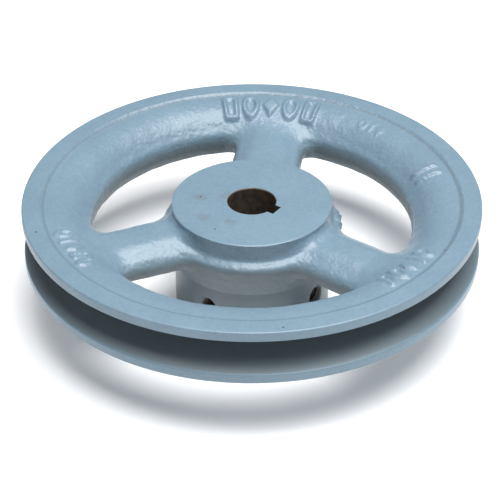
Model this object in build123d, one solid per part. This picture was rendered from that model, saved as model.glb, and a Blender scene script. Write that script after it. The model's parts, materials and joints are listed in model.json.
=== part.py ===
from build123d import *
from math import cos, radians, sin, sqrt, tan
import os

# A cast iron V belt pulley: one groove, three arms and a hub with two set screws.
# Millimetres. The origin is on the bore axis at the groove's centre plane, +Z is up
# along the bore, the hub's long end points down, and +X runs through the keyway.

INCH = 25.4

# Rim and belt groove
RIM_RADIUS = 5.95 * INCH / 2
FACE_WIDTH = 0.75 * INCH
GROOVE_TOP_WIDTH = 0.494 * INCH
GROOVE_HALF_ANGLE = 19
GROOVE_DEPTH = 12.5
RIM_EDGE_BREAK = 0.4

# The two rim faces are turned in an outer ring and left as cast inside a sloped step
TURNED_RING_RADIUS = 69.6
CAST_RING_RADIUS = 68.6
CAST_FACE_DROP = 0.8

# The rim's inner side slopes down to a nose and curves back under: corners as
# (radius, height, rounding), and the nose's own radius, seen along the bore axis
RIM_SHOULDER = (60.4, FACE_WIDTH / 2 - CAST_FACE_DROP, 14.0)
RIM_SLOPE_END = (53.3, 1.4, 3.0)
RIM_UNDERSIDE = (53.0, CAST_FACE_DROP - FACE_WIDTH / 2, 6.5)
NOSE_RADIUS = 53.1

# Arms
ARM_COUNT = 3
FIRST_ARM_ANGLE = -2.6
ARM_HALF_WIDTH = 12.0
ARM_TOP = 3.8
ARM_BOTTOM = -5.5
ARM_TOP_ROUND = 5.2
ARM_BOTTOM_ROUND = 2.2
ARM_RIM_CORNER = 4.5
ARM_HUB_CORNER = 5.0
ARM_OUTER_RADIUS = 58.5
ARM_INNER_RADIUS = 22.0

# Hub
HUB_TOP = 7.15
HUB_BOTTOM = -30.95
HUB_FACE_RADIUS = 26.5
HUB_NECK_BOTTOM = 2.9
HUB_SHOULDER_RADIUS = 29.4
HUB_SHOULDER_TOP = 0.6
HUB_SHOULDER_ROUND = 1.6
HUB_BOSS_RADIUS = 27.0
HUB_BOSS_BOTTOM = -11.5
HUB_LOWER_RADIUS = 25.9
HUB_STEP_HEIGHT = 0.9
HUB_EDGE_BREAK = 0.5

# How far each cut runs past the faces it leaves through
CUT_OVERSHOOT = 1.0

# Bore and keyway
BORE_RADIUS = 0.625 * INCH / 2
BORE_EDGE_BREAK = 0.4
KEYWAY_WIDTH = 3 / 16 * INCH
KEYWAY_REACH = 10.07

# Set screws: 1/4-20 by 3/8 inch, one over the keyway and one a quarter turn round
SCREW_RADIUS = 0.25 * INCH / 2
SCREW_LENGTH = 0.375 * INCH
SCREW_CLEARANCE = 0.04
SCREW_HEIGHT = -20.5
SCREW_END_CHAMFER = 0.55
CUP_RADIUS = 1.7
CUP_DEPTH = 0.9
SOCKET_ACROSS_FLATS = 0.125 * INCH
SOCKET_DEPTH = 3.2
HOLE_MOUTH_CHAMFER = 0.5
HOLE_START_RADIUS = BORE_RADIUS / 2
SCREWS = {
    "set_screw_keyway": {"angle": 0, "tip_radius": 11.3},
    "set_screw_side": {"angle": -90, "tip_radius": 9.21},
}


def make_rim():
    """The rim: a turned ring with the V groove, over a cast inner side."""
    half_face = FACE_WIDTH / 2
    half_groove = GROOVE_TOP_WIDTH / 2
    floor_radius = RIM_RADIUS - GROOVE_DEPTH
    half_floor = half_groove - GROOVE_DEPTH * tan(radians(GROOVE_HALF_ANGLE))
    cast_face = half_face - CAST_FACE_DROP
    nose = (RIM_SHOULDER, RIM_SLOPE_END, RIM_UNDERSIDE)
    outline = Polyline(
        (CAST_RING_RADIUS, cast_face),
        (TURNED_RING_RADIUS, half_face),
        (RIM_RADIUS - RIM_EDGE_BREAK, half_face),
        (RIM_RADIUS, half_face - RIM_EDGE_BREAK),
        (RIM_RADIUS, half_groove),
        (floor_radius, half_floor),
        (floor_radius, -half_floor),
        (RIM_RADIUS, -half_groove),
        (RIM_RADIUS, RIM_EDGE_BREAK - half_face),
        (RIM_RADIUS - RIM_EDGE_BREAK, -half_face),
        (TURNED_RING_RADIUS, -half_face),
        (CAST_RING_RADIUS, -cast_face),
        *[(radius, height) for radius, height, _ in reversed(nose)],
        close=True,
    )
    section = make_face(outline)
    for radius, height, rounding in nose:
        section = fillet(section.vertices().sort_by_distance((radius, height))[0], rounding)
    return revolve(Plane.XZ * section, Axis.Z)


def make_hub():
    """The hub, stepped from its top face down past the arms to the face it stands on."""
    neck_round = HUB_NECK_BOTTOM - HUB_SHOULDER_TOP
    points = [
        (0, HUB_TOP),
        (HUB_FACE_RADIUS - HUB_EDGE_BREAK, HUB_TOP),
        (HUB_FACE_RADIUS, HUB_TOP - HUB_EDGE_BREAK),
        (HUB_FACE_RADIUS, HUB_NECK_BOTTOM),
        (HUB_FACE_RADIUS + neck_round, HUB_SHOULDER_TOP),
        (HUB_SHOULDER_RADIUS, HUB_SHOULDER_TOP - HUB_SHOULDER_ROUND / 2),
        (HUB_SHOULDER_RADIUS, HUB_SHOULDER_TOP - HUB_SHOULDER_ROUND),
        (HUB_BOSS_RADIUS, HUB_BOSS_BOTTOM),
        (HUB_LOWER_RADIUS, HUB_BOSS_BOTTOM - HUB_STEP_HEIGHT),
        (HUB_LOWER_RADIUS, HUB_BOTTOM + HUB_EDGE_BREAK),
        (HUB_LOWER_RADIUS - HUB_EDGE_BREAK, HUB_BOTTOM),
        (0, HUB_BOTTOM),
    ]
    return revolve_outline(Polyline(*points, close=True))


def revolve_outline(outline):
    """A closed outline of (radius, height) points turned about the bore axis."""
    return revolve(Plane.XZ * make_face(outline), Axis.Z)


def corner_arc(circle_radius, corner_radius, outside):
    """A plan view fillet between an arm's side and a circle about the bore axis.

    It starts on the arm's side and ends where it touches the circle.
    """
    centre_distance = circle_radius + corner_radius if outside else circle_radius - corner_radius
    centre_y = ARM_HALF_WIDTH + corner_radius
    centre_x = sqrt(centre_distance**2 - centre_y**2)
    start = Vector(centre_x, ARM_HALF_WIDTH)
    touch = Vector(centre_x, centre_y) * (circle_radius / centre_distance)
    arc = TangentArc(start, touch, tangent=(-1, 0) if outside else (1, 0))
    return start, touch, arc


def make_arm():
    """One arm along +X: a flat bar with rounded edges that flares into the rim and the hub."""
    hub_start, hub_touch, hub_arc = corner_arc(HUB_SHOULDER_RADIUS, ARM_HUB_CORNER, True)
    rim_start, rim_touch, rim_arc = corner_arc(NOSE_RADIUS, ARM_RIM_CORNER, False)
    in_hub = hub_touch * (ARM_INNER_RADIUS / HUB_SHOULDER_RADIUS)
    in_rim = rim_touch * (ARM_OUTER_RADIUS / NOSE_RADIUS)
    side = hub_arc + Line(hub_start, rim_start) + rim_arc + Line(hub_touch, in_hub) + Line(rim_touch, in_rim)
    ends = [Line((point.X, -point.Y), point) for point in (in_hub, in_rim)]
    outline = side.edges() + mirror(side, Plane.XZ).edges() + ends
    plate = extrude(make_face(outline), ARM_TOP - ARM_BOTTOM)
    for side_of_plate, rounding in ((-1, ARM_TOP_ROUND), (0, ARM_BOTTOM_ROUND)):
        flat_edges = plate.edges().filter_by(Plane.XY).filter_by_position(Axis.X, hub_touch.X, rim_touch.X)
        plate = fillet(flat_edges.group_by(Axis.Z)[side_of_plate], rounding)
    return Pos(0, 0, ARM_BOTTOM) * plate


def arm_angles():
    """The arms' directions, in degrees from +X."""
    return [FIRST_ARM_ANGLE + turn * 360 / ARM_COUNT for turn in range(ARM_COUNT)]


def along_radius(angle, radius):
    """A place on the set screws' plane, with its +Z pointing out from the bore axis."""
    outward = Vector(cos(radians(angle)), sin(radians(angle)), 0)
    return Plane(origin=outward * radius + Vector(0, 0, SCREW_HEIGHT), z_dir=outward, x_dir=(0, 0, 1))


def make_bore():
    """What is cut for the shaft: the bore, its edge breaks and the keyway."""
    keyway_length = HUB_TOP - HUB_BOTTOM + 2 * CUT_OVERSHOOT
    mouth_radius = BORE_RADIUS + BORE_EDGE_BREAK
    outline = Polyline(
        (0, HUB_BOTTOM - CUT_OVERSHOOT),
        (mouth_radius, HUB_BOTTOM - CUT_OVERSHOOT),
        (mouth_radius, HUB_BOTTOM),
        (BORE_RADIUS, HUB_BOTTOM + BORE_EDGE_BREAK),
        (BORE_RADIUS, HUB_TOP - BORE_EDGE_BREAK),
        (mouth_radius, HUB_TOP),
        (mouth_radius, HUB_TOP + CUT_OVERSHOOT),
        (0, HUB_TOP + CUT_OVERSHOOT),
        close=True,
    )
    middle = (HUB_TOP + HUB_BOTTOM) / 2
    keyway = Pos(KEYWAY_REACH / 2, 0, middle) * Box(KEYWAY_REACH, KEYWAY_WIDTH, keyway_length)
    return revolve_outline(outline) + keyway


def make_screw_hole(angle):
    """A hole for one set screw, from the bore out through the hub, with a chamfered mouth."""
    hole_radius = SCREW_RADIUS + SCREW_CLEARANCE
    hole_length = HUB_LOWER_RADIUS + CUT_OVERSHOOT - HOLE_START_RADIUS
    hole = extrude(along_radius(angle, HOLE_START_RADIUS) * Circle(hole_radius), hole_length)
    mouth = along_radius(angle, HUB_LOWER_RADIUS) * Cone(
        hole_radius,
        hole_radius + 2 * HOLE_MOUTH_CHAMFER,
        2 * HOLE_MOUTH_CHAMFER,
    )
    return hole + mouth


def make_casting():
    """The pulley itself: rim, arms and hub in one casting, then bored, keyed and drilled."""
    casting = make_rim() + make_hub()
    for angle in arm_angles():
        casting += Rot(0, 0, angle) * make_arm()
    casting -= make_bore()
    for screw in SCREWS.values():
        casting -= make_screw_hole(screw["angle"])
    return casting


def make_set_screw(angle, tip_radius):
    """A cup point socket set screw with its tip at the given distance from the bore axis."""
    tip = SCREW_RADIUS - SCREW_END_CHAMFER
    outline = Polyline(
        (0, CUP_DEPTH),
        (CUP_RADIUS, 0),
        (tip, 0),
        (SCREW_RADIUS, SCREW_END_CHAMFER),
        (SCREW_RADIUS, SCREW_LENGTH - SCREW_END_CHAMFER),
        (tip, SCREW_LENGTH),
        (0, SCREW_LENGTH),
        close=True,
    )
    blank = revolve_outline(outline)
    hexagon = RegularPolygon(SOCKET_ACROSS_FLATS / 2, 6, major_radius=False)
    socket = Pos(0, 0, SCREW_LENGTH - SOCKET_DEPTH) * extrude(hexagon, SOCKET_DEPTH + CUT_OVERSHOOT)
    return along_radius(angle, tip_radius) * (blank - socket)


def write_node(name, solid):
    """One STEP file for one named piece."""
    solid.label = name
    export_step(solid, f"parts/{name}.step")
    print(name, round(solid.volume, 1), "mm3")


def main():
    os.makedirs("parts", exist_ok=True)
    write_node("pulley_casting", make_casting())
    for name, screw in SCREWS.items():
        write_node(name, make_set_screw(screw["angle"], screw["tip_radius"]))


main()
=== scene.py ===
import json
import math

import bmesh
import bpy
import numpy as np
import openvdb
from mathutils import Matrix, Vector


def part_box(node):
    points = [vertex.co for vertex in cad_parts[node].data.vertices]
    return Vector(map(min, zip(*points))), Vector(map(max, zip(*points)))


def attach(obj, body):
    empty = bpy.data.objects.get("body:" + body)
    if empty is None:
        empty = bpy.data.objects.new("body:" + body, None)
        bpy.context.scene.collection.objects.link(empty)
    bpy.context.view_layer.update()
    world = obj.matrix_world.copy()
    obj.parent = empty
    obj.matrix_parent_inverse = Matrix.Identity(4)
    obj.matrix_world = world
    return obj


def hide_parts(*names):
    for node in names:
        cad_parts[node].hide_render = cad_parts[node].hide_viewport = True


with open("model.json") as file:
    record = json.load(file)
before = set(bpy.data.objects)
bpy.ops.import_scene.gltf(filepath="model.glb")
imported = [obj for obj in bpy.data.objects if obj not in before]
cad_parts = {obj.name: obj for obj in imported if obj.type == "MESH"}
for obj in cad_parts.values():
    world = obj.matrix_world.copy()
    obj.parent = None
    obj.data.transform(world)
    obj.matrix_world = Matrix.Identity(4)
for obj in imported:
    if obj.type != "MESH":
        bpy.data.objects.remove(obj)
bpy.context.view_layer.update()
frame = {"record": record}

# The casting is worked out in millimetres on the part's own axes, then set in metres.
MM = 0.001

# Sizes that the frame gives
CASTING_LOW, CASTING_HIGH = (np.array(corner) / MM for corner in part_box("pulley_casting"))
MOUNTS = {mount["name"]: mount for mount in frame["record"]["mounts"]}
RIM_RADIUS = CASTING_HIGH[0]
RIM_TOP = CASTING_HIGH[2]
HUB_BOTTOM = CASTING_LOW[2]
HUB_TOP = MOUNTS["hub_face"]["pos_m"][2] / MM
BORE_RADIUS = MOUNTS["bore"]["dims"]["r_mm"]

# Belt groove, rim edges and turned ring
GROOVE_HALF_WIDTH = 6.27
GROOVE_HALF_ANGLE = math.radians(19)
GROOVE_DEPTH = 12.5
RIM_CORNER = 0.6
GROOVE_LIP = 0.5
GROOVE_FLOOR_CORNER = 0.8
TURNED_RING_RADIUS = 69.6

# Cast rim, with the corners of its inner side as (radius, height, corner radius)
CAST_RING_RADIUS = 68.2
CAST_FACE = 8.72
STEP_FILLET = 1.0
STEP_RUN_PER_RISE = 0.6
RIM_SHOULDER = (60.4, CAST_FACE, 14.0)
RIM_WALL_TOP = (53.3, 1.4, 3.0)
RIM_WALL_BOTTOM = (53.0, -CAST_FACE, 6.5)

# A section drawn from its axis outwards starts a little past it, so that the axis is well inside the metal
PAST_AXIS = -1

# Arms, by their direction round from the keyway
ARM_ANGLES = [math.radians(angle) for angle in (-2.6, 117.4, 237.4)]
ARM_BOTTOM = -5.9
# Half of an arm's section as (distance from its middle, height, corner radius)
ARM_SECTION = [
    (PAST_AXIS, 4.0, 0),
    (5.2, 3.8, 8.0),
    (10.4, 0.5, 4.5),
    (12.3, -2.2, 3.0),
    (11.4, ARM_BOTTOM, 2.0),
    (PAST_AXIS, ARM_BOTTOM, 0),
]
ARM_ENDS = (20.0, 62.0)
# Fillets at an arm's two ends, and the radii between which one gives way to the other
HUB_BLEND = 4.5
RIM_BLEND = 6.5
BLEND_CHANGE = (33.0, 45.0)

# Hub, with the corners of its cast side as (radius, height, corner radius)
NECK_RADIUS = 26.6
NECK_DRAFT = 0.2
NECK_FOOT = (NECK_RADIUS, 0.6, 1.5)
SHOULDER = (30.1, 0.3, 2.3)
BOSS_RADIUS = 27.0
BOSS_DRAFT = 0.3
BOSS_BOTTOM = -11.5
LOWER_HUB_RADIUS = 25.9

# What the lathe leaves on the hub, as (radius, height, corner radius)
FACE_EDGE = (NECK_RADIUS - 0.1, HUB_TOP, 0.7)
FACE_BEVEL = (NECK_RADIUS + 0.15, HUB_TOP - 1.6, 0)
BOSS_STEP = (LOWER_HUB_RADIUS + 0.5, BOSS_BOTTOM, 0)
BOSS_STEP_FOOT = (LOWER_HUB_RADIUS, BOSS_BOTTOM - 0.6, 0.4)
HUB_END_EDGE = (LOWER_HUB_RADIUS, HUB_BOTTOM, 0.5)

# Metal on the raw casting that the lathe takes off
RIM_STOCK = 1.5
HUB_STOCK = 2.0
BOSS_STOCK = 1.0
# How far the lathe stays off the cast faces and the neck, and the radii between which it cuts nothing
LATHE_CLEARANCE = 3
NECK_CLEARANCE = 0.6
UNTURNED = (31.0, 64.0)

# Bore edge, keyway and tapped holes
BORE_EDGE = 0.25
KEYWAY_WIDTH = 4.7625
KEYWAY_REACH = 10.07
THREAD_PITCH = 1.27
THREAD_RADIUS = 3.175
THREAD_DEPTH = 0.68
THREAD_GAP = 0.03
# A thread's share of its depth is the first of these at the middle of its crest, falls by the second in half
# a pitch, and is then cut off flat at 1 and 0
THREAD_PEAK = 1.15
THREAD_FALL = 1.3
HOLE_START = BORE_RADIUS / 2
CUTTER_REACH = 2.0

# Countersinks at the tapped holes' mouths: how far they go into the hub, how far the cutter stands out of it,
# and its radius at both ends
COUNTERSINK_DEPTH = 1.2
COUNTERSINK_TOP = 1.45
COUNTERSINK_INSIDE = THREAD_RADIUS - 0.45
COUNTERSINK_OUTSIDE = THREAD_RADIUS + 2.2

# Set screws
END_CHAMFER = 0.6
END_RADIUS_LOSS = 0.75
SOCKET_ACROSS_FLATS = 3.175
SOCKET_DEPTH = 3.2
SOCKET_POINT_DEPTH = 4.0
CUP_DEPTH = 0.95
CUP_CUTTER_RADIUS = 2.6
CUTTER_OVERSHOOT = 1.0
SCREW_NODES = ("set_screw_keyway", "set_screw_side")

# How finely things are made
VOXEL = 0.5
SURFACE_BAND = 4 * VOXEL
TABLE_STEP = 0.25
TURN_STEPS = 288
BORE_TURN_STEPS = 144
COUNTERSINK_TURN_STEPS = 64
CUP_TURN_STEPS = 40
THREAD_TURN_STEPS = 40
THREAD_ROWS_PER_PITCH = 10
LATTICE_SIZE = 64


# ---------------------------------------------------------------- outlines

def rounded(corners, steps=5):
    """A closed outline from corners of (radius, height, corner radius), with each corner's arc put in."""
    points = []
    for index, (x, y, radius) in enumerate(corners):
        corner = np.array((x, y), float)
        if radius == 0:
            points.append(corner)
            continue
        before = np.array(corners[index - 1][:2], float) - corner
        after = np.array(corners[(index + 1) % len(corners)][:2], float) - corner
        before /= np.linalg.norm(before)
        after /= np.linalg.norm(after)
        half_angle = math.acos(np.clip(before @ after, -1, 1)) / 2
        reach = radius / math.tan(half_angle)
        middle = (before + after) / np.linalg.norm(before + after)
        centre = corner + middle * radius / math.sin(half_angle)
        start = corner + before * reach - centre
        end = corner + after * reach - centre
        for step in range(steps + 1):
            share = step / steps
            towards = start * (1 - share) + end * share
            points.append(centre + towards / np.linalg.norm(towards) * radius)
    return np.array(points)


def outline_distance(outline, radius, height):
    """Distance from each (radius, height) to a closed outline, negative inside it."""
    nearest = np.full(radius.shape, 1e9)
    inside = np.zeros(radius.shape, bool)
    for start, end in zip(outline, np.roll(outline, -1, axis=0)):
        edge = end - start
        offset_r, offset_h = radius - start[0], height - start[1]
        share = np.clip((offset_r * edge[0] + offset_h * edge[1]) / (edge @ edge), 0, 1)
        nearest = np.minimum(nearest, (offset_r - share * edge[0]) ** 2 + (offset_h - share * edge[1]) ** 2)
        crosses = (start[1] > height) != (end[1] > height)
        side = np.where(crosses, start[0] + (height - start[1]) * edge[0] / (edge[1] or 1), -1e9)
        inside ^= crosses & (radius < side)
    return np.where(inside, -1, 1) * np.sqrt(nearest)


def cast_rim_outline():
    """The rim before turning: a thick outer band, a sloped step, a flat web face and the inner side."""
    step_radius = TURNED_RING_RADIUS + RIM_STOCK * STEP_RUN_PER_RISE
    raw_radius = RIM_RADIUS + RIM_STOCK
    raw_top = RIM_TOP + RIM_STOCK
    return rounded([
        (CAST_RING_RADIUS, -CAST_FACE, STEP_FILLET),
        (TURNED_RING_RADIUS, -RIM_TOP, 0),
        (step_radius, -raw_top, 0),
        (raw_radius, -raw_top, 0),
        (raw_radius, raw_top, 0),
        (step_radius, raw_top, 0),
        (TURNED_RING_RADIUS, RIM_TOP, 0),
        (CAST_RING_RADIUS, CAST_FACE, STEP_FILLET),
        RIM_SHOULDER,
        RIM_WALL_TOP,
        RIM_WALL_BOTTOM,
    ], steps=12)


def cast_hub_outline():
    """The hub before turning: a neck, a shoulder that rounds over, and a drafted boss."""
    raw_top = HUB_TOP + HUB_STOCK
    raw_bottom = HUB_BOTTOM - HUB_STOCK
    return rounded([
        (PAST_AXIS, raw_top, 0),
        (NECK_RADIUS - NECK_DRAFT, raw_top, 0),
        NECK_FOOT,
        SHOULDER,
        (BOSS_RADIUS, BOSS_BOTTOM - BOSS_STOCK, 0),
        (BOSS_RADIUS - BOSS_DRAFT, raw_bottom, 0),
        (PAST_AXIS, raw_bottom, 0),
    ], steps=8)


def turned_outline():
    """Everything the lathe leaves: the rim with its V groove, and the hub's faces and lower end."""
    floor_radius = RIM_RADIUS - GROOVE_DEPTH
    floor_half = GROOVE_HALF_WIDTH - GROOVE_DEPTH * math.tan(GROOVE_HALF_ANGLE)
    clear_top = RIM_TOP + LATHE_CLEARANCE
    hub_gap, rim_start = UNTURNED
    return rounded([
        (0, HUB_TOP, 0),
        FACE_EDGE,
        FACE_BEVEL,
        (NECK_RADIUS + NECK_CLEARANCE, clear_top, 0),
        (rim_start, clear_top, 0),
        (rim_start, RIM_TOP, 0),
        (RIM_RADIUS, RIM_TOP, RIM_CORNER),
        (RIM_RADIUS, GROOVE_HALF_WIDTH, GROOVE_LIP),
        (floor_radius, floor_half, GROOVE_FLOOR_CORNER),
        (floor_radius, -floor_half, GROOVE_FLOOR_CORNER),
        (RIM_RADIUS, -GROOVE_HALF_WIDTH, GROOVE_LIP),
        (RIM_RADIUS, -RIM_TOP, RIM_CORNER),
        (rim_start, -RIM_TOP, 0),
        (rim_start, -clear_top, 0),
        (hub_gap, -clear_top, 0),
        (hub_gap, BOSS_BOTTOM, 0),
        BOSS_STEP,
        BOSS_STEP_FOOT,
        HUB_END_EDGE,
        (0, HUB_BOTTOM, 0),
    ])


# ---------------------------------------------------------------- cast surface

def ease(share):
    """A share from 0 to 1 with a smooth start and end."""
    return share * share * (3 - 2 * share)


def smooth_union(first, second, blend):
    """Joins two distance fields with a fillet about as large as blend."""
    overlap = np.maximum(blend - np.abs(first - second), 0) / blend
    return np.minimum(first, second) - overlap * overlap * blend / 4


def lumps(points, size, seed):
    """Smooth random heights from -1 to 1 at points, with lumps of a given size."""
    lattice = np.random.default_rng(seed).uniform(-1, 1, (LATTICE_SIZE,) * 3).astype(np.float32)
    scaled = points / size
    cell = np.floor(scaled).astype(int)
    share = ease(scaled - cell)
    total = np.zeros(len(points), np.float32)
    for corner in np.ndindex(2, 2, 2):
        weight = np.prod(np.where(corner, share, 1 - share), axis=1)
        place = (cell + corner) % LATTICE_SIZE
        total += weight * lattice[place[:, 0], place[:, 1], place[:, 2]]
    return total


def bar(across, out, half_width, half_height):
    """Distance to a straight bar in a mark's own plane."""
    beyond_across = np.abs(across) - half_width
    beyond_out = np.abs(out) - half_height
    outside = np.hypot(np.maximum(beyond_across, 0), np.maximum(beyond_out, 0))
    return outside + np.minimum(np.maximum(beyond_across, beyond_out), 0)


def ring(across, out, half_width, half_height, stroke):
    """Distance to an oval drawn in outline."""
    reach = np.hypot(across / half_width, out / half_height)
    return np.abs(reach - 1) * half_width - stroke


def rectangle(across, out, half_width, half_height, stroke):
    """Distance to a rectangle drawn in outline."""
    return np.abs(bar(across, out, half_width, half_height)) - stroke


def lozenge(across, out, half_width, half_height):
    """Distance to a diamond, near enough for one that is a little taller than it is wide."""
    reach = np.abs(across) / half_width + np.abs(out) / half_height
    middle_to_side = half_width * 0.8
    return (reach - 1) * middle_to_side


# Plain foundry marks: direction in degrees, middle radius, spacing, half height, half stroke, relief and
# the shapes in turn, each a bar, an oval, a rectangle or a lozenge by its first letter
MARKS = [
    (118.5, 61.6, 7.2, 4.9, 0.7, 0.95, "rolor"),
    (82.5, 62.5, 3.8, 2.4, 0.45, 0.3, "lbo"),
    (50.5, 61.2, 4.2, 4.3, 0.7, 0.85, "bb"),
    (-4.5, 62.8, 4.7, 3.6, 0.55, 0.8, "rolbo"),
    (242.5, 63.2, 4.4, 3.3, 0.5, 0.7, "oblro"),
]

# Half widths of a mark's shapes as shares of its spacing, and the width of its sloping sides
OVAL_WIDTH = 0.32
RECTANGLE_WIDTH = 0.27
LOZENGE_WIDTH = 0.4
MARK_SLOPE = 0.9

# Fins of flash left on the hub's neck: direction in degrees, lean in degrees per millimetre, and height
FLASH_FINS = [(33.0, 0.9, 0.7), (40.0, -0.7, 0.9), (46.0, 0.5, 0.6)]
FIN_HALF_WIDTH = 0.45
FIN_MIDDLE = 0.5
# Where the fins have died away, and over how far they do, outwards and up and down
FIN_END_RADIUS = 31.5
FIN_RADIUS_FADE = 1.5
FIN_END_HEIGHT = 5.5
FIN_HEIGHT_FADE = 2

# Sand-cast unevenness as (height, size of its lumps, seed)
UNEVENNESS = [(0.12, 11, 1), (0.09, 3.7, 2), (0.055, 1.6, 3)]
# Parting line between the mould's halves, whose relief comes and goes in lumps
PARTING_HEIGHT = -0.7
PARTING_HALF_WIDTH = 0.5
PARTING_RELIEF = 0.12
PARTING_LUMPS = 5
PARTING_SEED = 4
# The marks are on the web's upper face, and nothing cast stands as high as the turned ring
MARKS_ABOVE = 2
RING_CLEARANCE = 0.02


def raised_marks(x, y):
    """How far the foundry marks stand up at each (x, y), in millimetres."""
    height = np.zeros(x.shape, np.float32)
    angle = np.arctan2(y, x)
    radius = np.hypot(x, y)
    for direction, middle, spacing, half_height, stroke, relief, shapes in MARKS:
        turn = (angle - math.radians(direction) + math.pi) % (2 * math.pi) - math.pi
        out = radius - middle
        for place, shape in enumerate(shapes):
            across = turn * middle - (place - (len(shapes) - 1) / 2) * spacing
            if shape == "b":
                distance = bar(across, out, stroke, half_height)
            elif shape == "o":
                distance = ring(across, out, spacing * OVAL_WIDTH, half_height - stroke, stroke)
            elif shape == "r":
                distance = rectangle(across, out, spacing * RECTANGLE_WIDTH, half_height - stroke, stroke)
            else:
                distance = lozenge(across, out, spacing * LOZENGE_WIDTH, half_height)
            rise = np.clip(0.5 - distance / MARK_SLOPE, 0, 1)
            height = np.maximum(height, ease(rise) * relief)
    return height


def flash_fins(points):
    """How far the fins of flash stand out from the hub's neck at each point, in millimetres."""
    radius = np.hypot(points[:, 0], points[:, 1])
    angle = np.degrees(np.arctan2(points[:, 1], points[:, 0]))
    from_middle = np.abs(points[:, 2] - FIN_MIDDLE)
    near_neck = np.clip((FIN_END_RADIUS - radius) / FIN_RADIUS_FADE, 0, 1)
    on_neck = near_neck * np.clip((FIN_END_HEIGHT - from_middle) / FIN_HEIGHT_FADE, 0, 1)
    height = np.zeros(len(points), np.float32)
    for direction, lean, fin in FLASH_FINS:
        aside = (angle - direction - lean * points[:, 2]) * math.radians(1) * radius
        height = np.maximum(height, fin * np.exp(-((aside / FIN_HALF_WIDTH) ** 2)))
    return height * on_neck


def cast_field(xs, ys, zs):
    """Distance to the cast surface at each place of a grid."""
    x, y = np.meshgrid(xs, ys, indexing="ij")
    radius = np.hypot(x, y)
    table_r = np.arange(0, radius.max() + 1, TABLE_STEP)
    profile_r, profile_z = np.meshgrid(table_r, zs, indexing="ij")
    rim = outline_distance(cast_rim_outline(), profile_r, profile_z)
    hub = outline_distance(cast_hub_outline(), profile_r, profile_z)
    share = np.clip((radius - BLEND_CHANGE[0]) / (BLEND_CHANGE[1] - BLEND_CHANGE[0]), 0, 1)
    blend = HUB_BLEND + (RIM_BLEND - HUB_BLEND) * ease(share)
    arms = []
    for angle in ARM_ANGLES:
        along = x * math.cos(angle) + y * math.sin(angle)
        aside = np.abs(y * math.cos(angle) - x * math.sin(angle))
        arms.append((along, aside))
    table_width, far = 30, 99
    table_aside = np.arange(0, table_width, TABLE_STEP)
    section = outline_distance(rounded(ARM_SECTION), *np.meshgrid(table_aside, zs, indexing="ij"))
    field = np.empty((len(xs), len(ys), len(zs)), np.float32)
    for layer in range(len(zs)):
        solid = np.interp(radius, table_r, np.minimum(rim[:, layer], hub[:, layer]))
        for along, aside in arms:
            bar_side = np.interp(aside, table_aside, section[:, layer], right=far)
            arm = np.maximum(bar_side, np.maximum(ARM_ENDS[0] - along, along - ARM_ENDS[1]))
            solid = smooth_union(solid, arm, blend)
        field[:, :, layer] = solid
    return field


def roughen(field, xs, ys, zs):
    """Adds the foundry marks and the sand-cast unevenness to the distance field, near its surface."""
    near = np.argwhere(np.abs(field) < SURFACE_BAND)
    points = np.column_stack((xs[near[:, 0]], ys[near[:, 1]], zs[near[:, 2]])).astype(np.float32)
    marks = raised_marks(points[:, 0], points[:, 1]) * (points[:, 2] > MARKS_ABOVE)
    relief = sum(height * lumps(points, size, seed) for height, size, seed in UNEVENNESS)
    at_parting = np.exp(-(((points[:, 2] - PARTING_HEIGHT) / PARTING_HALF_WIDTH) ** 2))
    parting = at_parting * (PARTING_RELIEF + PARTING_RELIEF * lumps(points, PARTING_LUMPS, PARTING_SEED))
    rough = field[tuple(near.T)] - (marks + relief + parting + flash_fins(points))
    above_ring = points[:, 2] - (RIM_TOP - RING_CLEARANCE)
    inside_step = np.hypot(points[:, 0], points[:, 1]) < TURNED_RING_RADIUS - STEP_FILLET
    field[tuple(near.T)] = np.where(inside_step, np.maximum(rough, above_ring), rough)
    return field


# ---------------------------------------------------------------- meshes

def new_object(name, vertices, faces, material=None):
    """A mesh object in the scene from vertices in metres."""
    mesh = bpy.data.meshes.new(name)
    mesh.from_pydata(vertices, [], faces)
    mesh.validate()
    if material:
        mesh.materials.append(material)
    piece = bpy.data.objects.new(name, mesh)
    bpy.context.scene.collection.objects.link(piece)
    return piece


def turned_solid(name, outline, material, steps=TURN_STEPS):
    """A closed solid from a (radius, height) outline in millimetres, turned about +Z."""
    if outline[0][1] < outline[-1][1]:
        outline = outline[::-1]
    on_axis = outline[:, 0] <= 1e-6
    rows = outline[~on_axis]
    ends = outline[on_axis]
    angles = np.arange(steps) * 2 * math.pi / steps
    ring_points = [
        (r * math.cos(a) * MM, r * math.sin(a) * MM, h * MM) for r, h in rows for a in angles
    ]
    faces = []
    for row in range(len(rows) - 1):
        for step in range(steps):
            following = (step + 1) % steps
            faces.append((
                row * steps + step, (row + 1) * steps + step,
                (row + 1) * steps + following, row * steps + following
            ))
    first, last = len(ring_points), len(ring_points) + 1
    ring_points += [(0, 0, ends[0][1] * MM), (0, 0, ends[-1][1] * MM)]
    last_row = (len(rows) - 1) * steps
    for step in range(steps):
        following = (step + 1) % steps
        faces.append((first, step, following))
        faces.append((last_row + step, last, last_row + following))
    return new_object(name, ring_points, faces, material)


def boolean(piece, tool, operation):
    """Cuts, joins or keeps the overlap of piece with tool, and deletes the tool."""
    cut = piece.modifiers.new(operation.lower(), "BOOLEAN")
    cut.object = tool
    cut.operation = operation
    cut.solver = "MANIFOLD"
    cut.material_mode = "TRANSFER"
    apply_modifiers(piece)
    bpy.data.objects.remove(tool)


def apply_modifiers(piece):
    """Turns the piece's modifiers into plain mesh."""
    depsgraph = bpy.context.evaluated_depsgraph_get()
    old = piece.data
    piece.data = bpy.data.meshes.new_from_object(piece.evaluated_get(depsgraph))
    piece.modifiers.clear()
    bpy.data.meshes.remove(old)


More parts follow.
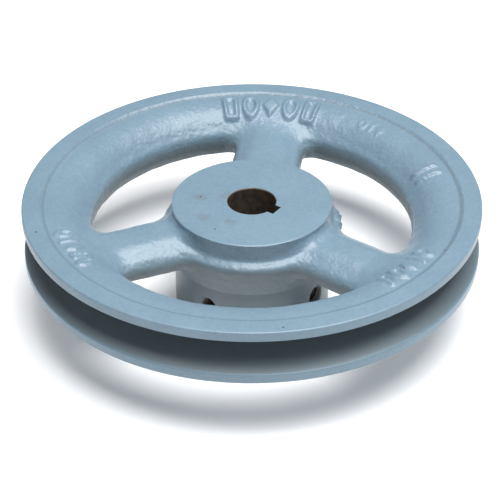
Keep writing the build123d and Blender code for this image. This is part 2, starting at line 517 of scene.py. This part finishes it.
def cast_solid(name, material):
    """The raw casting, polygonised from its distance field."""
    margin = 3 * VOXEL
    reach = RIM_RADIUS + 2 * RIM_STOCK
    xs = np.arange(-reach - margin, reach + margin, VOXEL)
    zs = np.arange(HUB_BOTTOM - HUB_STOCK - margin, RIM_TOP + LATHE_CLEARANCE + margin, VOXEL)
    field = roughen(cast_field(xs, xs, zs), xs, xs, zs)
    grid = openvdb.FloatGrid(SURFACE_BAND)
    grid.copyFromArray(np.clip(field, -SURFACE_BAND, SURFACE_BAND))
    points, triangles, quads = grid.convertToPolygons(isovalue=0, adaptivity=0)
    corner = np.array((xs[0], xs[0], zs[0]))
    vertices = (points * VOXEL + corner) * MM
    return new_object(name, vertices.tolist(), triangles.tolist() + quads.tolist(), material)


def thread_radius(along, turn, crest, root):
    """Radius of a right-hand V thread at a distance along its axis and a turn from 0 to 1."""
    place = np.mod(along / THREAD_PITCH - turn, 1)
    height = np.clip(THREAD_PEAK - THREAD_FALL * np.abs(2 * place - 1), 0, 1)
    return root + (crest - root) * height


def threaded_solid(name, start, end, crest, end_radius, chamfer, material):
    """A threaded rod along +Z from start to end, with each end narrowed to end_radius."""
    rows = max(2, round((end - start) / THREAD_PITCH * THREAD_ROWS_PER_PITCH))
    alongs = np.linspace(start, end, rows + 1)
    turns = np.arange(THREAD_TURN_STEPS) / THREAD_TURN_STEPS
    along, turn = np.meshgrid(alongs, turns, indexing="ij")
    radius = thread_radius(along, turn, crest, crest - THREAD_DEPTH)
    from_end = np.minimum(along - start, end - along)
    if chamfer:
        radius = np.minimum(radius, end_radius + from_end * (crest - end_radius) / chamfer)
    angle = turn * 2 * math.pi
    vertices = np.stack((radius * np.cos(angle), radius * np.sin(angle), along), axis=-1).reshape(-1, 3) * MM
    steps = THREAD_TURN_STEPS
    faces = [
        (row * steps + step, row * steps + (step + 1) % steps,
         (row + 1) * steps + (step + 1) % steps, (row + 1) * steps + step)
        for row in range(rows) for step in range(steps)
    ]
    faces.append(tuple(reversed(range(steps))))
    faces.append(tuple(range(rows * steps, (rows + 1) * steps)))
    return new_object(name, vertices.tolist(), faces, material)


def box_solid(name, low, high, material):
    """A plain cutter for the keyway."""
    xs, ys, zs = ((start * MM, end * MM) for start, end in zip(low, high))
    corners = [(x, y, z) for x in xs for y in ys for z in zs]
    faces = [(0, 1, 3, 2), (4, 6, 7, 5), (0, 4, 5, 1), (2, 3, 7, 6), (0, 2, 6, 4), (1, 5, 7, 3)]
    return new_object(name, corners, faces, material)


def screw_axis(node):
    """(outward direction, height, tip's distance from the bore axis, length) of a set screw's node."""
    low, high = (np.array(corner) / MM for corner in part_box(node))
    middle = (low + high) / 2
    outward = Vector((middle[0], middle[1], 0)).normalized()
    length = max(high - low)
    return outward, middle[2], math.hypot(middle[0], middle[1]) - length / 2, length


def along_axis(outward, height):
    """The matrix that takes +Z at the origin to a set screw's axis."""
    turn = Vector((0, 0, 1)).rotation_difference(outward).to_matrix().to_4x4()
    return Matrix.Translation((0, 0, height * MM)) @ turn


# ---------------------------------------------------------------- materials

def node_material(name):
    """A material of one shader, as (material, node tree, shader, object coordinates)."""
    material = bpy.data.materials.new(name)
    material.use_nodes = True
    tree = material.node_tree
    tree.nodes.clear()
    output = tree.nodes.new("ShaderNodeOutputMaterial")
    shader = tree.nodes.new("ShaderNodeBsdfPrincipled")
    tree.links.new(shader.outputs["BSDF"], output.inputs["Surface"])
    coordinates = tree.nodes.new("ShaderNodeTexCoord").outputs["Object"]
    return material, tree, shader, coordinates


def noise(tree, coordinates, size_mm, detail=2.0, roughness=0.5):
    """Noise with features of about size_mm; its output is near 0.5."""
    node = tree.nodes.new("ShaderNodeTexNoise")
    node.inputs["Scale"].default_value = 1 / (size_mm * MM)
    node.inputs["Detail"].default_value = detail
    node.inputs["Roughness"].default_value = roughness
    tree.links.new(coordinates, node.inputs["Vector"])
    return node.outputs["Fac"]


def ramp(tree, value, stops):
    """A colour ramp over value, from (position, colour) stops."""
    node = tree.nodes.new("ShaderNodeValToRGB")
    elements = node.color_ramp.elements
    while len(elements) < len(stops):
        elements.new(0.5)
    for element, (position, colour) in zip(elements, stops):
        element.position = position
        element.color = (*colour, 1)
    tree.links.new(value, node.inputs["Fac"])
    return node.outputs["Color"]


def mix(tree, factor, first, second):
    """The colour first, turned into the constant colour second as factor goes from 0 to 1."""
    node = tree.nodes.new("ShaderNodeMix")
    node.data_type = "RGBA"
    tree.links.new(factor, node.inputs["Factor"])
    colours = {socket.name: socket for socket in node.inputs if socket.type == "RGBA"}
    tree.links.new(first, colours["A"])
    colours["B"].default_value = (*second, 1)
    return next(socket for socket in node.outputs if socket.type == "RGBA")


def maths(tree, operation, first, second=0.0):
    """One maths node over sockets or numbers."""
    node = tree.nodes.new("ShaderNodeMath")
    node.operation = operation
    for socket, value in zip(node.inputs, (first, second)):
        if isinstance(value, bpy.types.NodeSocket):
            tree.links.new(value, socket)
        else:
            socket.default_value = value
    return node.outputs["Value"]


def bump(tree, shader, height, strength, distance_mm):
    """Gives the shader a bump from height, over any bump it already has."""
    node = tree.nodes.new("ShaderNodeBump")
    node.inputs["Strength"].default_value = strength
    node.inputs["Distance"].default_value = distance_mm * MM
    tree.links.new(height, node.inputs["Height"])
    if shader.inputs["Normal"].links:
        tree.links.new(shader.inputs["Normal"].links[0].from_socket, node.inputs["Normal"])
    tree.links.new(node.outputs["Normal"], shader.inputs["Normal"])


PAINT = (0.155, 0.238, 0.305)
PAINT_DARK = (0.143, 0.222, 0.286)
PAINT_LIGHT = (0.167, 0.254, 0.324)
# Painted shade: darker, greyer enamel in the belt groove, where the flanges shade it
PAINTED_SHADE_IN_GROOVE = (0.155, 0.20, 0.23)
# Painted shade: darker enamel low inside the rim and at the foot of the turned ring's step
PAINTED_SHADE_INSIDE = (0.107, 0.145, 0.165)
SMUDGE = (0.13, 0.14, 0.15)
CHIPPED_TO_METAL = (0.03, 0.027, 0.025)
OILED_IRON = (0.05, 0.04, 0.034)
DULL_IRON = (0.10, 0.082, 0.068)
RUST = (0.17, 0.085, 0.045)
BLACK_OXIDE = (0.022, 0.022, 0.025)
WORN_OXIDE = (0.06, 0.06, 0.065)


def paint_colour(tree, coordinates):
    """Machinery enamel with faint thick and thin places."""
    clouds = maths(tree, "MULTIPLY", noise(tree, coordinates, size_mm=14, detail=2), 0.5)
    grain = maths(tree, "MULTIPLY", noise(tree, coordinates, size_mm=1.1, detail=1), 0.5)
    stops = [(0.35, PAINT_DARK), (0.5, PAINT), (0.65, PAINT_LIGHT)]
    return ramp(tree, maths(tree, "ADD", clouds, grain), stops)


def near_places(tree, coordinates, places, size_mm):
    """1 within about size_mm of any of the places, fading unevenly to 0 outside."""
    uneven = maths(tree, "MULTIPLY", noise(tree, coordinates, size_mm, detail=2), 0.9)
    nearest = None
    for place in places:
        node = tree.nodes.new("ShaderNodeVectorMath")
        node.operation = "DISTANCE"
        node.inputs[1].default_value = [value * MM for value in place]
        tree.links.new(coordinates, node.inputs[0])
        distance = node.outputs["Value"]
        nearest = maths(tree, "MINIMUM", nearest, distance) if nearest else distance
    reach = maths(tree, "ADD", maths(tree, "DIVIDE", nearest, size_mm * MM), uneven)
    return ramp(tree, reach, [(0.75, (1, 1, 1)), (1.0, (0, 0, 0))])


# Where the enamel is chipped, and where the hub's face is smudged
CHIPS = [
    (-15.4, -7.5, HUB_TOP),
    (-0.3, -20.4, HUB_TOP),
    (-44.1, -57.1, RIM_TOP),
    (49.1, -54.2, RIM_TOP),
    (67.7, 9.1, CAST_FACE),
]
CHIP_SIZE = 0.75
SMUDGES = [(-15.0, -7.9, HUB_TOP), (1.3, -14.3, HUB_TOP), (-9.0, -2.0, HUB_TOP), (-7.2, -17.0, HUB_TOP)]
SMUDGE_SIZE = 4.5
SMUDGE_STRENGTH = 0.32
# How strongly painted shade darkens the foot of the turned ring's step
STEP_SHADE_STRENGTH = 0.42

# Where painted shade begins and ends, each as (full from here, none from here)
GROOVE_FLOOR_FADE = (62.0, 61.0)
GROOVE_LIP_FADE = (74.6, 75.4)
GROOVE_SIDE_FADE = (GROOVE_HALF_WIDTH - 0.3, GROOVE_HALF_WIDTH)
LOW_FADE = (-2.5, 1.0)
UNDER_RIM_FADE = (58.0, 60.0)
STEP_INNER_FADE = (CAST_RING_RADIUS + 0.1, CAST_RING_RADIUS - 0.3)
STEP_OUTER_FADE = (CAST_RING_RADIUS + 0.6, CAST_RING_RADIUS + 1.0)
STEP_FACE_FADE = (CAST_FACE - 0.6, CAST_FACE - 1.0)


def fade(tree, value, ends_mm):
    """1 where value is the first of two ends or beyond it, fading to 0 at the second."""
    full_mm, none_mm = ends_mm
    node = tree.nodes.new("ShaderNodeMapRange")
    node.inputs["From Min"].default_value = none_mm * MM
    node.inputs["From Max"].default_value = full_mm * MM
    tree.links.new(value, node.inputs["Value"])
    return node.outputs["Result"]


def all_of(tree, *fades):
    """1 where every one of the fades, given as (value, its two ends), is 1, and 0 where any is 0."""
    total = fade(tree, *fades[0])
    for following in fades[1:]:
        total = maths(tree, "MULTIPLY", total, fade(tree, *following))
    return total


def painted_shade_places(tree, coordinates):
    """Masks for painted shade: how far a place is in the belt groove, low inside the rim, and at the foot of
    the turned ring's step, each from 0 to 1."""
    split = tree.nodes.new("ShaderNodeSeparateXYZ")
    tree.links.new(coordinates, split.inputs["Vector"])
    squares = [maths(tree, "MULTIPLY", split.outputs[axis], split.outputs[axis]) for axis in ("X", "Y")]
    radius = maths(tree, "SQRT", maths(tree, "ADD", *squares))
    height = split.outputs["Z"]
    from_middle = maths(tree, "ABSOLUTE", height)
    groove = all_of(
        tree, (radius, GROOVE_FLOOR_FADE), (radius, GROOVE_LIP_FADE), (from_middle, GROOVE_SIDE_FADE)
    )
    low = all_of(tree, (height, LOW_FADE), (radius, UNDER_RIM_FADE))
    step = all_of(tree, (radius, STEP_INNER_FADE), (radius, STEP_OUTER_FADE), (from_middle, STEP_FACE_FADE))
    return groove, low, step


def shaded_and_worn_colour(tree, coordinates):
    """The enamel's colour, with painted shade in the recesses, and with its smudges and small chips."""
    groove, low, step = painted_shade_places(tree, coordinates)
    # Painted shade: the belt groove is darkened and greyed
    colour = mix(tree, groove, paint_colour(tree, coordinates), PAINTED_SHADE_IN_GROOVE)
    # Painted shade: darker enamel on the lower faces inside the rim
    colour = mix(tree, low, colour, PAINTED_SHADE_INSIDE)
    # Painted shade: a dark line in the corner at the foot of the turned ring's step
    colour = mix(tree, maths(tree, "MULTIPLY", step, STEP_SHADE_STRENGTH), colour, PAINTED_SHADE_INSIDE)
    smudges = near_places(tree, coordinates, SMUDGES, SMUDGE_SIZE)
    colour = mix(tree, maths(tree, "MULTIPLY", smudges, SMUDGE_STRENGTH), colour, SMUDGE)
    return mix(tree, near_places(tree, coordinates, CHIPS, CHIP_SIZE), colour, CHIPPED_TO_METAL)


def cast_paint():
    """Enamel over a sand-cast surface: orange peel over grains."""
    material, tree, shader, coordinates = node_material("enamel_over_cast_iron")
    tree.links.new(shaded_and_worn_colour(tree, coordinates), shader.inputs["Base Color"])
    shader.inputs["Roughness"].default_value = 0.37
    shader.inputs["Specular IOR Level"].default_value = 0.5
    bump(tree, shader, noise(tree, coordinates, size_mm=2.4, detail=1), strength=0.52, distance_mm=0.36)
    bump(tree, shader, noise(tree, coordinates, size_mm=1.1, detail=1), strength=0.66, distance_mm=0.22)
    return material


def turned_paint():
    """Enamel over a turned surface: nearly smooth."""
    material, tree, shader, coordinates = node_material("enamel_over_turned_iron")
    tree.links.new(shaded_and_worn_colour(tree, coordinates), shader.inputs["Base Color"])
    shader.inputs["Roughness"].default_value = 0.36
    shader.inputs["Specular IOR Level"].default_value = 0.5
    bump(tree, shader, noise(tree, coordinates, size_mm=2.2, detail=2), strength=0.3, distance_mm=0.15)
    return material


def bare_iron():
    """Bored and tapped iron left unpainted: dark, oiled and lightly rusted."""
    material, tree, shader, coordinates = node_material("bare_bored_iron")
    patches = noise(tree, coordinates, size_mm=2.5, detail=4, roughness=0.65)
    colour = ramp(tree, patches, [(0.35, OILED_IRON), (0.55, DULL_IRON), (0.75, RUST)])
    tree.links.new(colour, shader.inputs["Base Color"])
    shader.inputs["Metallic"].default_value = 0.3
    shader.inputs["Roughness"].default_value = 0.5
    bump(tree, shader, noise(tree, coordinates, size_mm=0.6, detail=3), strength=0.4, distance_mm=0.08)
    return material


def black_oxide():
    """Blackened alloy steel of the set screws."""
    material, tree, shader, coordinates = node_material("black_oxide_steel")
    patches = noise(tree, coordinates, size_mm=0.8, detail=3)
    colour = ramp(tree, patches, [(0.35, BLACK_OXIDE), (0.7, WORN_OXIDE)])
    tree.links.new(colour, shader.inputs["Base Color"])
    shader.inputs["Metallic"].default_value = 0.8
    shader.inputs["Roughness"].default_value = 0.42
    bump(tree, shader, noise(tree, coordinates, size_mm=0.3, detail=2), strength=0.2, distance_mm=0.03)
    return material


# ---------------------------------------------------------------- pieces

def make_casting(cast, turned, bare):
    """The pulley: the raw casting, turned, bored, keyed and tapped, with its holes' mouths countersunk."""
    pulley = cast_solid("pulley", cast)
    boolean(pulley, turned_solid("lathe_envelope", turned_outline(), turned), "INTERSECT")
    below, above = HUB_BOTTOM - CUTTER_REACH, HUB_TOP + CUTTER_REACH
    flared = BORE_RADIUS + BORE_EDGE + CUTTER_REACH
    bore = np.array([
        (0, below),
        (flared, below),
        (BORE_RADIUS, HUB_BOTTOM + BORE_EDGE),
        (BORE_RADIUS, HUB_TOP - BORE_EDGE),
        (flared, above),
        (0, above),
    ])
    boolean(pulley, turned_solid("bore_cutter", bore, bare, BORE_TURN_STEPS), "DIFFERENCE")
    half_key = KEYWAY_WIDTH / 2
    keyway = box_solid("keyway_cutter", (0, -half_key, below), (KEYWAY_REACH, half_key, above), bare)
    boolean(pulley, keyway, "DIFFERENCE")
    for node in SCREW_NODES:
        outward, height, _, _ = screw_axis(node)
        hole = threaded_solid(
            "tap", HOLE_START, LOWER_HUB_RADIUS + CUTTER_REACH, THREAD_RADIUS + THREAD_GAP,
            end_radius=0, chamfer=0, material=bare,
        )
        hole.data.transform(along_axis(outward, height))
        boolean(pulley, hole, "DIFFERENCE")
        mouth = turned_solid("countersink", np.array([
            (0, LOWER_HUB_RADIUS - COUNTERSINK_DEPTH),
            (COUNTERSINK_INSIDE, LOWER_HUB_RADIUS - COUNTERSINK_DEPTH),
            (COUNTERSINK_OUTSIDE, LOWER_HUB_RADIUS + COUNTERSINK_TOP),
            (0, LOWER_HUB_RADIUS + COUNTERSINK_TOP),
        ]), turned, COUNTERSINK_TURN_STEPS)
        mouth.data.transform(along_axis(outward, height))
        boolean(pulley, mouth, "DIFFERENCE")
    return pulley


def make_set_screw(node, steel):
    """One threaded set screw with a hexagon socket and a cup point."""
    outward, height, tip, length = screw_axis(node)
    name = node.replace("set_screw", "threaded_set_screw")
    end = tip + length
    crest = THREAD_RADIUS - THREAD_GAP
    screw = threaded_solid(name, tip, end, crest, crest - END_RADIUS_LOSS, END_CHAMFER, steel)
    socket_radius = SOCKET_ACROSS_FLATS / 2 / math.cos(math.radians(30))
    socket = turned_solid("socket_cutter", np.array([
        (0, end - SOCKET_POINT_DEPTH),
        (socket_radius, end - SOCKET_DEPTH),
        (socket_radius, end + CUTTER_OVERSHOOT),
        (0, end + CUTTER_OVERSHOOT),
    ]), steel, steps=6)
    boolean(screw, socket, "DIFFERENCE")
    cup = turned_solid("cup_cutter", np.array([
        (0, tip - CUTTER_OVERSHOOT),
        (CUP_CUTTER_RADIUS, tip - CUTTER_OVERSHOOT),
        (0, tip + CUP_DEPTH),
    ]), steel, CUP_TURN_STEPS)
    boolean(screw, cup, "DIFFERENCE")
    screw.data.transform(along_axis(outward, height))
    return screw


def shade(piece, sharp_degrees):
    """Smooth shading, sharp where faces turn by more than an angle or a cast surface meets a machined one."""
    piece.data.shade_smooth()
    piece.data.set_sharp_from_angle(angle=math.radians(sharp_degrees))
    faces = bmesh.new()
    faces.from_mesh(piece.data)
    for edge in faces.edges:
        if len({face.material_index for face in edge.link_faces}) > 1:
            edge.smooth = False
    faces.to_mesh(piece.data)
    faces.free()


cast = cast_paint()
turned = turned_paint()
bare = bare_iron()
steel = black_oxide()

pulley = make_casting(cast, turned, bare)
shade(pulley, sharp_degrees=32)
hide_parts("pulley_casting")
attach(pulley, "pulley")

for node, body in zip(SCREW_NODES, ("keyway_screw", "side_screw")):
    screw = make_set_screw(node, steel)
    shade(screw, sharp_degrees=40)
    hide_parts(node)
    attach(screw, body)


# ---------------------------------------------------------------- stage, light and camera

def make_floor():
    """A pale floor under the hub's lower face."""
    half = 6.0
    floor = new_object(
        "floor", [(-half, -half, 0), (half, -half, 0), (half, half, 0), (-half, half, 0)], [(0, 1, 2, 3)]
    )
    floor.location.z = HUB_BOTTOM * MM
    material, _, shader, _ = node_material("pale_floor")
    shader.inputs["Base Color"].default_value = (0.86, 0.86, 0.87, 1)
    shader.inputs["Roughness"].default_value = 0.9
    shader.inputs["Emission Color"].default_value = (0.95, 0.97, 1.0, 1)
    shader.inputs["Emission Strength"].default_value = 0.22
    floor.data.materials.append(material)


CAMERA_AZIMUTH = math.radians(35)
CAMERA_ELEVATION = math.radians(32.56)
CAMERA_DISTANCE = 0.5807
CAMERA_LENS = 126.95
CAMERA_ROLL = -0.0041
# Where the camera looks, from the rim's top centre: to its right, away from it and up
CAMERA_AIM = (-0.00064, -0.00975, -0.01527)


def from_camera_side(right, away, up):
    """A point given on axes that face away from the camera, from the rim's top centre."""
    turn = Matrix.Rotation(CAMERA_AZIMUTH, 4, "Z")
    return Matrix.Translation((0, 0, RIM_TOP * MM)) @ turn @ Vector((right, away, up))


def make_camera():
    """The camera at the same side, height and distance as the view of the real pulley."""
    data = bpy.data.cameras.new("camera")
    data.lens = CAMERA_LENS
    data.sensor_width = 36
    camera = bpy.data.objects.new("camera", data)
    back = CAMERA_DISTANCE * math.cos(CAMERA_ELEVATION)
    up = CAMERA_DISTANCE * math.sin(CAMERA_ELEVATION)
    camera.location = from_camera_side(0, -back, up)
    look = from_camera_side(*CAMERA_AIM) - camera.location
    facing = look.to_track_quat("-Z", "Y").to_matrix() @ Matrix.Rotation(CAMERA_ROLL, 3, "Z")
    camera.rotation_euler = facing.to_euler()
    bpy.context.scene.collection.objects.link(camera)
    bpy.context.scene.camera = camera


def make_light(name, place, size, power):
    """A square soft light at a place on the camera's axes, aimed at the pulley."""
    data = bpy.data.lights.new(name, "AREA")
    data.shape = "SQUARE"
    data.size = size
    data.energy = power
    light = bpy.data.objects.new(name, data)
    light.location = from_camera_side(*place)
    light.rotation_euler = (-light.location).to_track_quat("-Z", "Y").to_euler()
    bpy.context.scene.collection.objects.link(light)


def make_world():
    """Even pale light from all round."""
    world = bpy.data.worlds.new("studio")
    world.use_nodes = True
    background = world.node_tree.nodes["Background"]
    background.inputs["Color"].default_value = (1.0, 0.93, 0.84, 1)
    background.inputs["Strength"].default_value = 0.15
    bpy.context.scene.world = world


make_floor()
make_world()
make_light("overhead_softbox", place=(0.15, -0.10, 1.0), size=0.85, power=22)
make_camera()
bpy.context.scene.view_settings.view_transform = "Standard"
